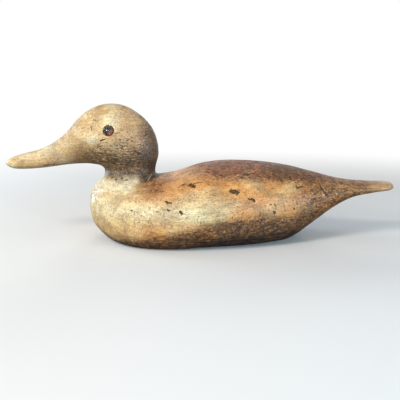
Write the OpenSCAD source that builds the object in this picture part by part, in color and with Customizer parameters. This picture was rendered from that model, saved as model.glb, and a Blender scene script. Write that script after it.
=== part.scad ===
// Hollow wooden floating duck decoy, carved in three blocks: an upper body hollowed from below, a flat
// bottom board, and a head with neck and bill that stands on a seat in front of the back.
// Millimetres. The bill points to -X, the tail to +X, and the base rests on Z = 0.

/* [Body] */
// Length of the body from the breast to the tip of the tail
body_length = 318; // [285:1:350]
// Greatest width of the body
body_width = 130; // [122:1:150]
// Height of the back above the base
body_height = 81; // [76:0.5:88]
// Thickness of the bottom board
board_thickness = 12; // [11:0.5:15]
// Height of the flat seat that the neck stands on
seat_height = 64; // [62:0.5:66]
// Width of the solid rim between the edge of the flat base and the hollow
rim_width = 11; // [9:0.5:15]
// Thickness of the back above the hollow
back_thickness = 16; // [12:0.5:24]
// Distance from the breast back to the front of the hollow
hollow_setback = 74; // [70:1:84]
// Length of the hollow
hollow_length = 106; // [80:1:110]

/* [Head] */
// Distance from the breast back to the middle of the neck
neck_setback = 43; // [42:0.5:50]
// Length of the head from the tip of the bill to the back of the head
head_length = 158.5; // [145:0.5:170]
// Height of the crown above the seat
head_height = 75.5; // [70:0.5:82]
// Greatest width of the head
head_width = 50; // [44:0.5:56]

/* [Eyes] */
// Diameter of each glass eye
eye_diameter = 10; // [8:0.5:11]
// How far the glass stands out of the head
eye_dome = 2.6; // [1.5:0.1:3]
// Thickness of the putty ring that beds each eye
putty_thickness = 0.7; // [0.4:0.1:1.2]
// Diameter of the wire shank on the back of each eye
eye_wire_diameter = 1.2; // [0.8:0.1:1.8]
// Length of the wire shank on the back of each eye
eye_wire_length = 9; // [6:0.5:12]

/* [Neck joint] */
// Diameter of the screw that draws the head down
screw_diameter = 6; // [5:0.5:8]
// Length of that screw under its head
screw_length = 76; // [66:1:84]
// Depth of the counterbore for that screw, above the bottom board
counterbore_depth = 15; // [10:0.5:20]
// Outer diameter of the washer under the screw's head
washer_diameter = 16; // [14:0.5:18]
// Thickness of the washer
washer_thickness = 1.6; // [1:0.1:2.5]
// Diameter of the hardwood dowel that stops the head turning
dowel_diameter = 10; // [8:0.5:12]
// Length of that dowel
dowel_length = 50; // [40:1:56]
// Diameter of the brads through the foot of the neck into the body
brad_diameter = 1.4; // [1.2:0.1:2]
// Length of those brads
brad_length = 20; // [16:0.5:24]

/* [Bottom] */
// Diameter of the nails that hold the bottom board
nail_diameter = 2.4; // [2:0.1:3.2]
// Length of those nails
nail_length = 34; // [28:1:40]
// Length of the lead ballast bar
ballast_length = 96; // [80:1:110]
// Width of the lead ballast bar
ballast_width = 30; // [24:1:36]
// Thickness of the lead ballast bar
ballast_thickness = 7; // [5:0.5:8]
// Distance from the breast back to the middle of the ballast
ballast_setback = 118; // [110:1:125]
// Diameter of the two screws through the ballast
ballast_screw_diameter = 4; // [3:0.5:5]
// Length of the two screws through the ballast
ballast_screw_length = 11; // [9:0.5:11.5]

/* [Line tie] */
// Distance from the breast back to the middle of the staple
tie_setback = 40; // [38:0.5:41]
// Inside diameter of the ring that the anchor line is tied to
ring_bore = 14.8; // [13:0.2:16]
// Thickness of the ring's wire
ring_wire = 2.2; // [1.8:0.1:2.6]
// Thickness of the staple's wire
staple_wire = 2.2; // [1.8:0.1:2.6]
// Distance between the middles of the staple's legs
staple_span = 8; // [7:0.5:10]
// Length of wood that the staple's legs go through above the pocket
staple_grip = 17; // [13:0.5:20]
// Depth of the pocket that the ring and staple lie in
pocket_depth = 7.5; // [7.3:0.1:8.5]

/* [Hidden] */
$fn = 48;

wood_upper = "burlywood";
wood_lower = "tan";
fit_gap = 0.05;         // radial gap round a driven nail, screw, dowel or staple leg
link_gap = 0.3;         // play between the ring and the staple
bench_gap = 0.3;        // how far the ring and the ballast stay above the surface the decoy stands on
cut_over = 1;           // how far a cutter runs past the face it opens
dowel_lead = 10;        // distance of the dowel before the middle of the neck
screw_lag = 12.5;       // distance of the screw behind the middle of the neck
pocket_room = 2.5;      // room for fingers round the ring in its pocket
pocket_lag = 3;         // distance of the pocket's front rounding behind the staple
ring_points = 40;       // points round each section of a carved block
ring_steps = 3;         // sections in each span of a profile table

// Lines of the body, one row a station, from breast to tail: distance from the breast, half width, height of
// the top, height of the bottom, and squareness of the lower half. The distance is a share of the body's
// length, the half width of half its width, and both heights of its height. The bottom is planed flat at Z = 0.
body_lines = [
    [0.000, 0.000, 0.450,  0.450, 2.2],
    [0.011, 0.255, 0.655,  0.230, 2.4],
    [0.041, 0.440, 0.772,  0.090, 2.8],
    [0.095, 0.680, 0.815, -0.012, 3.4],
    [0.174, 0.900, 0.800, -0.045, 3.8],
    [0.268, 1.000, 0.835, -0.045, 4.0],
    [0.363, 0.985, 0.952, -0.032, 3.9],
    [0.457, 0.920, 0.998, -0.024, 3.8],
    [0.561, 0.790, 0.984, -0.012, 3.6],
    [0.650, 0.640, 0.938,  0.028, 3.0],
    [0.726, 0.490, 0.864,  0.205, 2.6],
    [0.792, 0.380, 0.794,  0.392, 2.4],
    [0.858, 0.300, 0.746,  0.532, 2.3],
    [0.931, 0.250, 0.727,  0.598, 2.2],
    [0.984, 0.190, 0.724,  0.625, 2.2],
    [1.000, 0.000, 0.675,  0.675, 2.2]];
body_waist = 0.42;      // height of the widest line, as a share of each section's own height
body_crown = 2.2;       // squareness of the upper half

// Lines of the head, from the root of the neck to the tip of the bill. Each row gives the throat side and the
// back side of one section, as X and Z, then its half width and how much narrower it is on the back side.
// X runs back from the middle of the neck in head lengths, Z up from the seat in head heights.
head_lines = [
    [-0.225, -0.140,  0.160, -0.140, 1.60, 0.00],
    [-0.181,  0.000,  0.160,  0.000, 1.09, 0.00],
    [-0.168,  0.053,  0.160,  0.060, 0.90, 0.00],
    [-0.170,  0.120,  0.168,  0.170, 0.80, 0.00],
    [-0.193,  0.167,  0.185,  0.315, 0.89, 0.02],
    [-0.222,  0.183,  0.180,  0.484, 0.98, 0.06],
    [-0.240,  0.186,  0.144,  0.682, 1.00, 0.10],
    [-0.260,  0.190,  0.066,  0.859, 0.99, 0.13],
    [-0.284,  0.192, -0.050,  0.986, 0.95, 0.15],
    [-0.315,  0.189, -0.183,  0.986, 0.85, 0.15],
    [-0.360,  0.184, -0.309,  0.850, 0.66, 0.14],
    [-0.435,  0.168, -0.422,  0.595, 0.51, 0.12],
    [-0.555,  0.133, -0.551,  0.416, 0.45, 0.12],
    [-0.681,  0.114, -0.681,  0.331, 0.43, 0.12],
    [-0.770,  0.124, -0.770,  0.274, 0.36, 0.10],
    [-0.820,  0.194, -0.820,  0.194, 0.00, 0.00]];
head_crown = 2.15;      // squareness of the head's sections

// Columns of each table that are alike on both sides of a rounded end, marked 1. The others change sign there.
body_even = [1, 0, 0, 0, 1];
head_even = [1, 0, 1, 0, 0, 1];

// Reading the tables. A row folded past a rounded end makes the lines leave that end square to its middle.
function folded(pole, row, even) = [for (k = [0:len(row) - 1]) even[k] == 1 ? row[k] : 2 * pole[k] - row[k]];
function spline(a, b, c, d, t) =
    0.5 * (2 * b + (c - a) * t + (2 * a - 5 * b + 4 * c - d) * t * t + (3 * b - a - 3 * c + d) * t * t * t);
function between(rows, u) =
    let (i = min(floor(u), len(rows) - 4), t = u - i)
    [for (k = [0:len(rows[0]) - 1]) spline(rows[i][k], rows[i + 1][k], rows[i + 2][k], rows[i + 3][k], t)];
function power(v, n) = sign(v) * pow(abs(v), 2 / n);
function unit(v) = v / norm(v);

// Body: section number u of the table, in millimetres from the breast, the middle and the base
body_last = len(body_lines) - 1;
body_rows = concat([folded(body_lines[0], body_lines[1], body_even)], body_lines,
                   [folded(body_lines[body_last], body_lines[body_last - 1], body_even)]);
function body_row(u) =
    let (r = between(body_rows, u))
    [r[0] * body_length, r[1] * body_width / 2, r[2] * body_height, r[3] * body_height, r[4]];
function body_ring(u) =
    let (r = body_row(u), waist = r[3] + body_waist * (r[2] - r[3]))
    [for (j = [0:ring_points - 1])
        let (a = 360 * j / ring_points, n = sin(a) >= 0 ? body_crown : r[4])
        [r[0], r[1] * power(cos(a), n), waist + (sin(a) >= 0 ? r[2] - waist : waist - r[3]) * power(sin(a), n)]];
function section_at(x, low = 0, high = body_last, tries = 24) =
    let (middle = (low + high) / 2)
    tries == 0 ? middle
    : body_row(middle)[0] < x ? section_at(x, middle, high, tries - 1) : section_at(x, low, middle, tries - 1);
// Half width of the flat base, and height of the underside, at distance x from the breast
function base_half(x) =
    let (r = body_row(section_at(x)), waist = r[3] + body_waist * (r[2] - r[3]))
    r[1] * pow(1 - pow(waist / (waist - r[3]), r[4]), 1 / r[4]);
function underside(x, y) =
    let (r = body_row(section_at(x)), waist = r[3] + body_waist * (r[2] - r[3]))
    max(0, waist - (waist - r[3]) * pow(1 - pow(abs(y) / r[1], r[4]), 1 / r[4]));

// Head: a point of section u, at share s of the way from its middle to its back side, or round that section
head_last = len(head_lines) - 1;
neck_last = 3;          // last section of the neck
head_rows = concat([2 * head_lines[0] - head_lines[1]], head_lines,
                   [folded(head_lines[head_last], head_lines[head_last - 1], head_even)]);
function head_oval(u, across, along) =
    let (r = between(head_rows, u), x = (r[0] + r[2]) / 2 + across * (r[2] - r[0]) / 2,
         z = (r[1] + r[3]) / 2 + across * (r[3] - r[1]) / 2)
    [neck_setback + x * head_length, along * r[4] * (1 - r[5] * across) * head_width / 2,
     seat_height + z * head_height];
function head_ring(u) =
    [for (j = [0:ring_points - 1])
        let (a = 360 * j / ring_points)
        head_oval(u, power(cos(a), head_crown), power(sin(a), head_crown))];
function head_side(u, s) = head_oval(u, s, pow(1 - pow(abs(s), head_crown), 1 / head_crown));

// Places along the length, from the breast
bill_tip = neck_setback + head_lines[head_last][0] * head_length;
length_middle = (bill_tip + body_length) / 2;
dowel_x = neck_setback - dowel_lead;
screw_x = neck_setback + screw_lag;
ring_radius = (ring_bore + ring_wire) / 2;
ring_z = bench_gap + staple_wire + link_gap + ring_wire / 2;
pocket_radius = ring_radius + ring_wire / 2 + pocket_room;
pocket_front = tie_setback + pocket_lag;        // middle of the rounded front end of the ring's pocket
washer_z = board_thickness + counterbore_depth;     // the face that the washer bears on
screw_head_z = washer_z - washer_thickness;

// Fasteners, each as its diameter, length under its face, diameter of its head and height of its head
board_nail = [nail_diameter, nail_length, 2 * nail_diameter, 0.4 * nail_diameter];
brad = [brad_diameter, brad_length, 1.5 * brad_diameter, 0.6 * brad_diameter];
ballast_screw = [ballast_screw_diameter, ballast_screw_length, 1.9 * ballast_screw_diameter,
                 0.5 * ballast_screw_diameter];
screw_head_height = 4.2;    // height of the neck screw's hexagon head
screw_head_across = 11;     // width of that head across its flats
washer_play = 0.3;          // play round the screw in its washer, and round the washer in its counterbore
drive_depth = 4;        // how far the hole of a fastener is open outside its face
nail_count = 6;         // nails along each side of the flat base
nail_front = 42;        // distance from the breast to the first of them
nail_back = 160;        // distance from the breast to the last of them
breast_nail_x = 22;     // nails before the flat base: distance from the breast
breast_nail_y = 17;     // and from the middle
tail_nail_x = 196;      // nails behind the flat base: distance from the breast
tail_nail_y = 14;       // and from the middle
nail_sink = 0.4;        // how far a nail's head is driven below the face
nail_pairs = concat([[breast_nail_x, breast_nail_y], [tail_nail_x, tail_nail_y]],
    [for (i = [0:nail_count - 1])
        let (x = nail_front + (nail_back - nail_front) * i / (nail_count - 1))
        [x, base_half(x) - rim_width / 2]]);
nail_spots = [for (side = [-1, 1]) for (spot = nail_pairs)
    [spot[0], side * spot[1], underside(spot[0], spot[1]) + nail_sink]];
brad_count = 4;         // brads along each side of the neck's foot
brad_row = 1.5;         // section of the head that the upper ones go through
brad_stagger = 0.3;     // how many sections lower every other one is
brad_first = -0.6;      // share of the way from the section's middle to its back side, for the first
brad_step = 0.2;        // and how much further back each next one is
brad_slant = 50;        // angle that the brads are driven down at
brad_sink = 0.5;        // how far a brad's head is driven below the face
brad_spots = [for (side = [-1, 1]) for (i = [0:brad_count - 1])
    [brad_row - brad_stagger * (i % 2), brad_first + brad_step * i, side]];
ballast_screw_edge = 16;    // distance of each screw from the end of the bar

// Eyes: where the middle of each eye lies on the head, and how it is let in
eye_section = 7.73;
eye_share = 0.23;
eye_socket = 3;         // depth of the socket under the middle of the eye
iris_thickness = 0.5;   // thickness of the enamel behind the glass
eye_rim = -0.6;         // height of the glass's edge, against the surface of the head at its middle
iris_radius = 0.94 * eye_diameter / 2;
pupil_radius = 0.52 * eye_diameter / 2;
putty_radius = eye_diameter / 2 + putty_thickness + fit_gap;
eye_middle = head_side(eye_section, eye_share);
eye_out = unit(cross(head_side(eye_section + 0.05, eye_share) - head_side(eye_section - 0.05, eye_share),
                     head_side(eye_section, eye_share + 0.02) - head_side(eye_section, eye_share - 0.02)));
eye_turn = [0, acos(eye_out[2]), atan2(eye_out[1], eye_out[0])];

// Solid through a list of rings, closed by a point at each end
module loft(start, rings, end) {
    count = len(rings[0]);
    last = len(rings) - 1;
    function place(i, j) = 1 + i * count + j % count;
    polyhedron(
        points = concat([start], [for (ring = rings) each ring], [end]),
        faces = concat(
            [for (j = [0:count - 1]) [0, place(0, j), place(0, j + 1)]],
            [for (i = [0:last - 1]) for (j = [0:count - 1]) [place(i, j), place(i + 1, j), place(i + 1, j + 1)]],
            [for (i = [0:last - 1]) for (j = [0:count - 1]) [place(i, j), place(i + 1, j + 1), place(i, j + 1)]],
            [for (j = [0:count - 1]) [1 + len(rings) * count, place(last, j + 1), place(last, j)]]));
}

module centred() {
    translate([-length_middle, 0, 0])
        children();
}

module slab(low, high) {
    translate([-body_length, -body_width, low])
        cube([3 * body_length, 2 * body_width, high - low]);
}

module body_block() {
    tail = body_row(body_last);
    breast = body_row(0);
    loft([breast[0], 0, breast[2]],
         [for (i = [1:body_last * ring_steps - 1]) body_ring(i / ring_steps)],
         [tail[0], 0, tail[2]]);
}

module head_block() {
    loft(head_oval(0, 0, 0),
         [for (i = [0:head_last * ring_steps - 1]) head_ring(i / ring_steps)],
         head_oval(head_last, 0, 0));
}

// The neck alone, which shapes the foot that the body carries it on and the place cut for it in the back
module neck_block() {
    loft(head_oval(0, 0, 0),
         [for (i = [0:neck_last * ring_steps]) head_ring(i / ring_steps)],
         head_oval(neck_last, 0, 0));
}

// Gouged hollow of the upper body, an arch in section that follows the back and the sides
hollow_steps = 16;      // sections along the hollow
hollow_corner = 0.55;   // how soon the hollow reaches its full width and height behind each end
hollow_square = 2.5;    // squareness of its sections
function hollow_ring(t) =
    let (x = hollow_setback + hollow_length * (1 - cos(t)) / 2, r = body_row(section_at(x)),
         swell = pow(sin(t), hollow_corner),
         half = (base_half(x) - rim_width) * swell,
         rise = (r[2] - back_thickness - board_thickness) * swell)
    [for (j = [0:ring_points - 1])
        let (a = 360 * j / ring_points)
        [x, half * power(cos(a), hollow_square),
         board_thickness + (sin(a) >= 0 ? rise : cut_over) * power(sin(a), hollow_square)]];

module hollow() {
    loft([hollow_setback, 0, board_thickness],
         [for (i = [1:hollow_steps - 1]) hollow_ring(180 * i / hollow_steps)],
         [hollow_setback + hollow_length, 0, board_thickness]);
}

// Fasteners stand with their outer face at the origin and point up. A hole follows its fastener at the fit gap.
module shank(size) {
    tip = 1.4 * size[0];
    cylinder(h = size[1] - tip, r = size[0] / 2);
    translate([0, 0, size[1] - tip])
        cylinder(h = tip, r1 = size[0] / 2, r2 = size[0] / 10);
}

module flat_nail(size) {
    cylinder(h = size[3], r = size[2] / 2);
    shank(size);
}

module nail_hole(size) {
    cylinder(h = size[1], r = size[0] / 2 + fit_gap);
    translate([0, 0, -drive_depth])
        cylinder(h = drive_depth + size[3], r = size[2] / 2 + fit_gap);
}

module countersunk_screw(size) {
    slot = size[2] / 8;
    difference() {
        union() {
            cylinder(h = size[3], r1 = size[2] / 2, r2 = size[0] / 2);
            shank(size);
        }
        translate([-size[2], -slot / 2, -slot])
            cube([2 * size[2], slot, 2 * slot]);
    }
}

module countersunk_hole(size) {
    cylinder(h = size[1], r = size[0] / 2 + fit_gap);
    cylinder(h = size[3], r1 = size[2] / 2 + fit_gap, r2 = size[0] / 2 + fit_gap);
}

module at_nails() {
    for (spot = nail_spots)
        translate([spot[0], spot[1], spot[2]])
            children();
}

module at_brads() {
    for (spot = brad_spots) {
        entry = head_side(spot[0], spot[1]);
        translate([entry[0], spot[2] * entry[1], entry[2]])
            rotate([spot[2] * (90 + brad_slant), 0, 0])
                translate([0, 0, brad_sink])
                    children();
    }
}

module at_ballast_screws() {
    for (side = [-1, 1])
        translate([ballast_setback + side * (ballast_length / 2 - ballast_screw_edge), 0, bench_gap])
            children();
}

module ballast_bar(height, gap) {
    corner = ballast_width / 4 + gap;
    long = ballast_length + 2 * gap;
    wide = ballast_width + 2 * gap;
    linear_extrude(height)
        union() {
            square([long - 2 * corner, wide], center = true);
            square([long, wide - 2 * corner], center = true);
            for (x = [-1, 1])
                for (y = [-1, 1])
                    translate([x * (long / 2 - corner), y * (wide / 2 - corner)])
                        circle(corner);
        }
}

module staple(gap = 0) {
    bend = staple_span / 2;
    crown_z = bench_gap + staple_wire / 2 + bend;
    top = pocket_depth + staple_grip;
    point = staple_wire * 1.2;
    translate([tie_setback, 0, crown_z]) {
        rotate([-90, 0, 0])
            rotate_extrude(angle = 180)
                translate([bend, 0])
                    circle(staple_wire / 2 + gap, $fn = 32);
        for (side = [-1, 1])
            translate([side * bend, 0, 0]) {
                cylinder(h = top - crown_z - (gap > 0 ? 0 : point), r = staple_wire / 2 + gap);
                if (gap == 0)
                    translate([0, 0, top - crown_z - point])
                        cylinder(h = point, r1 = staple_wire / 2, r2 = staple_wire / 8);
            }
    }
}

// Pocket in the base for the ring and the staple, with round ends left by the cutter
module ring_pocket() {
    back = tie_setback + ring_radius;
    translate([0, 0, -cut_over])
        linear_extrude(pocket_depth + cut_over)
            union() {
                translate([pocket_front, 0])
                    circle(pocket_radius);
                translate([back, 0])
                    circle(pocket_radius);
                translate([pocket_front, -pocket_radius])
                    square([back - pocket_front, 2 * pocket_radius]);
            }
}

module dowel(gap = 0) {
    chamfer = 1;
    rise = dowel_length / 2 - chamfer;
    translate([dowel_x, 0, seat_height]) {
        translate([0, 0, -dowel_length / 2 - gap])
            cylinder(h = dowel_length + 2 * gap, r = dowel_diameter / 2 + gap - (gap > 0 ? 0 : chamfer));
        if (gap == 0) {
            translate([0, 0, -rise])
                cylinder(h = 2 * rise, r = dowel_diameter / 2);
            for (end = [0, 1])
                mirror([0, 0, end])
                    translate([0, 0, rise])
                        cylinder(h = chamfer, r1 = dowel_diameter / 2, r2 = dowel_diameter / 2 - chamfer);
        }
    }
}

// Hole for the shank of the neck screw, and the counterbore that its head and washer go up through
module screw_holes() {
    translate([screw_x, 0, screw_head_z])
        cylinder(h = screw_length, r = screw_diameter / 2 + fit_gap);
    translate([screw_x, 0, board_thickness - cut_over])
        cylinder(h = counterbore_depth + cut_over, r = washer_diameter / 2 + washer_play);
}

module at_right_eye() {
    translate(eye_middle)
        rotate(eye_turn)
            children();
}

module at_left_eye() {
    mirror([0, 1, 0])
        at_right_eye()
            children();
}

// Socket of an eye in the head, with the hole for its wire
module eye_hole() {
    translate([0, 0, -eye_socket])
        cylinder(h = eye_socket + eye_diameter, r = putty_radius);
    translate([0, 0, -eye_socket - eye_wire_length])
        cylinder(h = eye_wire_length + cut_over, r = eye_wire_diameter / 2 + fit_gap);
}

module upper_body() {
    color(wood_upper)
        centred()
            difference() {
                union() {
                    intersection() {
                        body_block();
                        slab(board_thickness, 2 * body_height);
                    }
                    intersection() {
                        neck_block();
                        slab(0, seat_height);
                    }
                }
                intersection() {
                    neck_block();
                    slab(seat_height, 2 * body_height);
                }
                hollow();
                screw_holes();
                dowel(fit_gap);
                staple(fit_gap);
                at_nails()
                    nail_hole(board_nail);
                at_brads()
                    nail_hole(brad);
            }
}

module bottom_board() {
    color(wood_lower)
        centred()
            difference() {
                intersection() {
                    body_block();
                    slab(0, board_thickness);
                }
                ring_pocket();
                staple(fit_gap);
                translate([ballast_setback, 0, -cut_over])
                    ballast_bar(cut_over + bench_gap + ballast_thickness, fit_gap);
                at_ballast_screws()
                    countersunk_hole(ballast_screw);
                at_nails()
                    nail_hole(board_nail);
            }
}

module head() {
    color(wood_upper)
        centred()
            difference() {
                intersection() {
                    head_block();
                    slab(seat_height, seat_height + 2 * head_height);
                }
                dowel(fit_gap);
                screw_holes();
                at_brads()
                    nail_hole(brad);
                at_left_eye()
                    eye_hole();
                at_right_eye()
                    eye_hole();
            }
}

module neck_dowel() {
    color("wheat")
        centred()
            dowel();
}

module head_screw() {
    color("slategray")
        centred()
            translate([screw_x, 0, screw_head_z]) {
                shank([screw_diameter, screw_length]);
                translate([0, 0, -screw_head_height])
                    cylinder(h = screw_head_height, d = screw_head_across / cos(30), $fn = 6);
            }
}

module head_screw_washer() {
    color("silver")
        centred()
            translate([screw_x, 0, screw_head_z])
                difference() {
                    cylinder(h = washer_thickness, d = washer_diameter);
                    translate([0, 0, -cut_over])
                        cylinder(h = washer_thickness + 2 * cut_over, r = screw_diameter / 2 + washer_play);
                }
}

module neck_brads() {
    color("dimgray")
        centred()
            at_brads()
                flat_nail(brad);
}

module board_nails() {
    color("dimgray")
        centred()
            at_nails()
                flat_nail(board_nail);
}

module ballast_weight() {
    color("darkgray")
        centred()
            difference() {
                translate([ballast_setback, 0, bench_gap])
                    ballast_bar(ballast_thickness, 0);
                at_ballast_screws()
                    countersunk_hole(ballast_screw);
            }
}

module ballast_screws() {
    color("darkgoldenrod")
        centred()
            at_ballast_screws()
                countersunk_screw(ballast_screw);
}

module line_staple() {
    color("dimgray")
        centred()
            staple();
}

module line_ring() {
    color("goldenrod")
        centred()
            translate([tie_setback + ring_radius, 0, ring_z])
                rotate_extrude()
                    translate([ring_radius, 0])
                        circle(ring_wire / 2, $fn = 32);
}

// Pieces of one eye, standing on its socket's middle with +Z out of the head
module eye_putty() {
    lip = putty_thickness / 2;
    rotate_extrude() {
        translate([eye_diameter / 2 + fit_gap, -eye_socket])
            square([putty_thickness - fit_gap, eye_socket + eye_rim]);
        translate([eye_diameter / 2 + fit_gap + lip, eye_rim])
            circle(lip - fit_gap / 2, $fn = 24);
    }
}

module eye_glass() {
    rise = eye_dome - eye_rim;
    bulge = (pow(eye_diameter / 2, 2) + rise * rise) / (2 * rise);
    back = iris_thickness - eye_socket;
    intersection() {
        translate([0, 0, eye_dome - bulge])
            sphere(bulge);
        translate([0, 0, back])
            cylinder(h = eye_dome + eye_socket, d = eye_diameter);
    }
}

module eye_iris() {
    translate([0, 0, -eye_socket])
        difference() {
            cylinder(h = iris_thickness, r = iris_radius);
            translate([0, 0, -cut_over])
                cylinder(h = iris_thickness + 2 * cut_over, r = pupil_radius + fit_gap);
        }
}

module eye_pupil() {
    translate([0, 0, -eye_socket])
        cylinder(h = iris_thickness, r = pupil_radius);
}

module eye_wire() {
    translate([0, 0, -eye_socket - eye_wire_length])
        cylinder(h = eye_wire_length, d = eye_wire_diameter);
}

module left_eye_putty() {
    color("saddlebrown")
        centred()
            at_left_eye()
                eye_putty();
}

module left_eye_glass() {
    color("lightcyan", 0.4)
        centred()
            at_left_eye()
                eye_glass();
}

module left_eye_iris() {
    color("orangered")
        centred()
            at_left_eye()
                eye_iris();
}

module left_eye_pupil() {
    color("black")
        centred()
            at_left_eye()
                eye_pupil();
}

module left_eye_wire() {
    color("silver")
        centred()
            at_left_eye()
                eye_wire();
}

module right_eye_putty() {
    color("saddlebrown")
        centred()
            at_right_eye()
                eye_putty();
}

module right_eye_glass() {
    color("lightcyan", 0.4)
        centred()
            at_right_eye()
                eye_glass();
}

module right_eye_iris() {
    color("orangered")
        centred()
            at_right_eye()
                eye_iris();
}

module right_eye_pupil() {
    color("black")
        centred()
            at_right_eye()
                eye_pupil();
}

module right_eye_wire() {
    color("silver")
        centred()
            at_right_eye()
                eye_wire();
}

upper_body();
bottom_board();
head();
neck_dowel();
head_screw();
head_screw_washer();
neck_brads();
board_nails();
ballast_weight();
ballast_screws();
line_staple();
line_ring();
left_eye_putty();
left_eye_glass();
left_eye_iris();
left_eye_pupil();
left_eye_wire();
right_eye_putty();
right_eye_glass();
right_eye_iris();
right_eye_pupil();
right_eye_wire();
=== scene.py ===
"""The looks of a hollow wooden floating duck decoy, dressed round its solids.

Metres, +Z up, the bill to -X and the base on Z = 0, as in the solids. The three wooden blocks are lofted again
through the same lines, finely enough to carry the gouges, chips and cracks of the old wood as real relief. Glass,
enamel, putty, lead, brass and iron are finishes on the solids' own pieces.
"""

import math
import random
from contextlib import contextmanager

import bmesh
import bpy
import numpy as np
from mathutils import Matrix, Vector, noise
from mathutils.bvhtree import BVHTree


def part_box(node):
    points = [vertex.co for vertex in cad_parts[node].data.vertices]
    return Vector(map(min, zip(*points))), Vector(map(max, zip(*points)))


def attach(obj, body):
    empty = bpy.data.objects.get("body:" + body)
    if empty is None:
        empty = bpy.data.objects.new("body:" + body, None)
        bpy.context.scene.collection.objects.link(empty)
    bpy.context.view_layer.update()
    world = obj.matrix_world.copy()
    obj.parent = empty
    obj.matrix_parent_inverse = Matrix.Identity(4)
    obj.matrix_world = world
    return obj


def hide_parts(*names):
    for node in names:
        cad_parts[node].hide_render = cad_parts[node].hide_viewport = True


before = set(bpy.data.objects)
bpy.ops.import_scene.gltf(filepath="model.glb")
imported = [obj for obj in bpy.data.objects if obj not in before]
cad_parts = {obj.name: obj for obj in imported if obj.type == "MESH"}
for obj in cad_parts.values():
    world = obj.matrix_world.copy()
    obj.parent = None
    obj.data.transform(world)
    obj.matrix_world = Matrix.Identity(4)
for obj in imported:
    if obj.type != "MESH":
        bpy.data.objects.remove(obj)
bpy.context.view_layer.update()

MM = 0.001
RANDOM = random.Random(7)
SAME_PLACE = 1e-6  # metres within which two places count as one

# Camera, as the photograph was taken
CAMERA_RISE = math.radians(12)
CAMERA_DISTANCE = 634 * MM
CAMERA_TARGET = Vector((0, 0, 38.9 * MM))
PICTURE = 400  # pixels a side
FOCAL_PIXELS = 600
SENSOR_WIDTH = 36  # millimetres
NEAR_CLIP = 10 * MM
CAMERA_BACK = Vector((0, -math.cos(CAMERA_RISE), math.sin(CAMERA_RISE)))
CAMERA_UP = Vector((0, math.sin(CAMERA_RISE), math.cos(CAMERA_RISE)))

# Driving sizes of the carving
BODY_LENGTH = 318 * MM
BODY_WIDTH = 130 * MM
BODY_HEIGHT = 81 * MM
HEAD_LENGTH = 158.5 * MM
HEAD_HEIGHT = 75.5 * MM
HEAD_WIDTH = 50 * MM
NECK_SETBACK = 43 * MM
BREAST_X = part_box("upper_body")[0].x
SEAM_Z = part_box("bottom_board")[1].z
SEAT_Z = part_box("head")[0].z

# The lines that the blocks are carved to. Body, from breast to tail: distance, half width, top, bottom, squareness
# of the lower half, each as a share of the body's own size.
BODY_LINES = [
    [0.000, 0.000, 0.450, 0.450, 2.2],
    [0.011, 0.255, 0.655, 0.230, 2.4],
    [0.041, 0.440, 0.772, 0.090, 2.8],
    [0.095, 0.680, 0.815, -0.012, 3.4],
    [0.174, 0.900, 0.800, -0.045, 3.8],
    [0.268, 1.000, 0.835, -0.045, 4.0],
    [0.363, 0.985, 0.952, -0.032, 3.9],
    [0.457, 0.920, 0.998, -0.024, 3.8],
    [0.561, 0.790, 0.984, -0.012, 3.6],
    [0.650, 0.640, 0.938, 0.028, 3.0],
    [0.726, 0.490, 0.864, 0.205, 2.6],
    [0.792, 0.380, 0.794, 0.392, 2.4],
    [0.858, 0.300, 0.746, 0.532, 2.3],
    [0.931, 0.250, 0.727, 0.598, 2.2],
    [0.984, 0.190, 0.724, 0.625, 2.2],
    [1.000, 0.000, 0.675, 0.675, 2.2],
]
BODY_WAIST = 0.42
BODY_CROWN = 2.2
BODY_EVEN = np.array([1, 0, 0, 0, 1], bool)
# Head, from the neck's root to the bill's tip: throat side X and Z, back side X and Z, half width, narrowing
HEAD_LINES = [
    [-0.225, -0.140, 0.160, -0.140, 1.60, 0.00],
    [-0.181, 0.000, 0.160, 0.000, 1.09, 0.00],
    [-0.168, 0.053, 0.160, 0.060, 0.90, 0.00],
    [-0.170, 0.120, 0.168, 0.170, 0.80, 0.00],
    [-0.193, 0.167, 0.185, 0.315, 0.89, 0.02],
    [-0.222, 0.183, 0.180, 0.484, 0.98, 0.06],
    [-0.240, 0.186, 0.144, 0.682, 1.00, 0.10],
    [-0.260, 0.190, 0.066, 0.859, 0.99, 0.13],
    [-0.284, 0.192, -0.050, 0.986, 0.95, 0.15],
    [-0.315, 0.189, -0.183, 0.986, 0.85, 0.15],
    [-0.360, 0.184, -0.309, 0.850, 0.66, 0.14],
    [-0.435, 0.168, -0.422, 0.595, 0.51, 0.12],
    [-0.555, 0.133, -0.551, 0.416, 0.45, 0.12],
    [-0.681, 0.114, -0.681, 0.331, 0.43, 0.12],
    [-0.770, 0.124, -0.770, 0.274, 0.36, 0.10],
    [-0.820, 0.194, -0.820, 0.194, 0.00, 0.00],
]
HEAD_CROWN = 2.15
HEAD_EVEN = np.array([1, 0, 1, 0, 0, 1], bool)
NECK_LAST = 4  # last row of the neck

# Fineness of the carved surfaces
LOFT_STEPS = 14  # sections in each span of a table
LOFT_POINTS = 200  # points round each section
BODY_GRID, HEAD_GRID = ((1.1 * MM, 0.8 * MM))


# --- meshes


def smoothstep(low, high, value):
    """0 at low, 1 at high, and smooth between them."""
    t = np.clip((value - low) / (high - low), 0, 1)
    return t * t * (3 - 2 * t)


def new_object(name, mesh):
    o = bpy.data.objects.new(name, mesh)
    bpy.context.scene.collection.objects.link(o)
    return o


@contextmanager
def edited(mesh):
    """A mesh as a BMesh, which is written back at the end."""
    bm = bmesh.new()
    bm.from_mesh(mesh)
    yield bm
    bm.to_mesh(mesh)
    bm.free()


def mesh_of(name, points, faces):
    mesh = bpy.data.meshes.new(name)
    mesh.from_pydata([tuple(p) for p in points], [], faces)
    mesh.update()
    return mesh


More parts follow.
